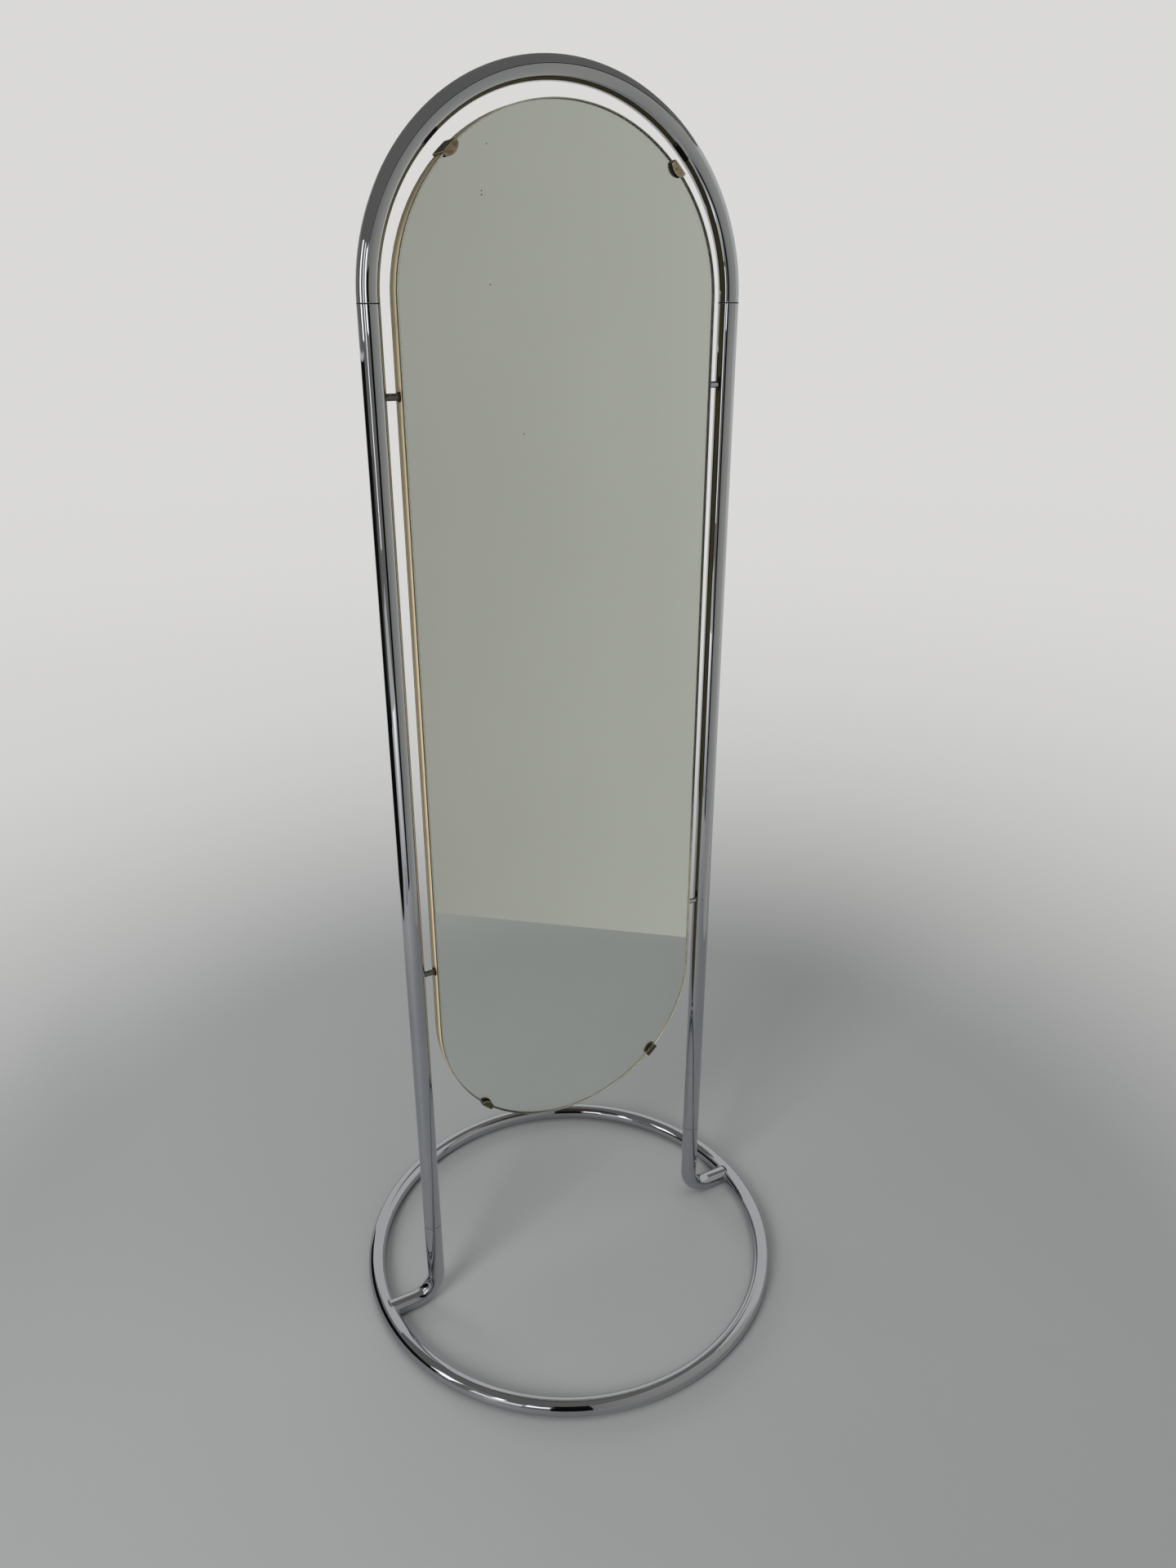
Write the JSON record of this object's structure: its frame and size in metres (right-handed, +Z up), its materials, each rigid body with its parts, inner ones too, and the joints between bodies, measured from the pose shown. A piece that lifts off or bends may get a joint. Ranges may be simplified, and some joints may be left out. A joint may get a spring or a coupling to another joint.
{
  "type": "full-length mirror",
  "caption": "Free-standing full-length mirror: a round-ended panel pinned inside an arched chrome tube frame that stands on a round tube ring.",
  "frame": {"origin": "centre of the floor ring, on the floor", "axes": "+Z up, the glass faces -Y, +X to the right of someone who looks into the mirror"},
  "size_m": [0.6453, 0.6454, 1.6599],
  "materials": {
    "chrome": "bright chrome plating on steel tube, light wear",
    "mirror": "silvered float glass with a polished chamfered edge",
    "board": "raw particle board",
    "edge_band": "cream edge band, slightly yellowed",
    "back_sheet": "brown hardboard",
    "clip_metal": "nickel-bronze plated sheet steel, tarnished",
    "clip_pad": "soft dark pad",
    "zinc": "zinc-plated steel",
    "worn_steel": "darkened steel with light rust",
    "insert_brass": "plain brass"
  },
  "bodies": {
    "root": {"base_ring": "chrome", "left_foot": "chrome", "right_foot": "chrome", "left_leg": "chrome", "right_leg": "chrome", "top_arch": "chrome", "upper_left_spacer": "chrome", "upper_right_spacer": "chrome", "lower_left_spacer": "chrome", "lower_right_spacer": "chrome", "mirror_glass": "mirror", "backing_board": "board", "edge_band": "edge_band", "back_panel": "back_sheet", "upper_left_clip": "clip_metal", "upper_right_clip": "clip_metal", "lower_left_clip": "clip_metal", "lower_right_clip": "clip_metal", "clip_pads": "clip_pad", "joint_screws": "zinc", "back_screws": "zinc", "clip_screws": "zinc", "upper_left_stud": "zinc", "upper_right_stud": "zinc", "lower_left_stud": "zinc", "lower_right_stud": "zinc", "spacer_washers": "worn_steel", "board_inserts": "insert_brass"}
  },
  "joints": []
}
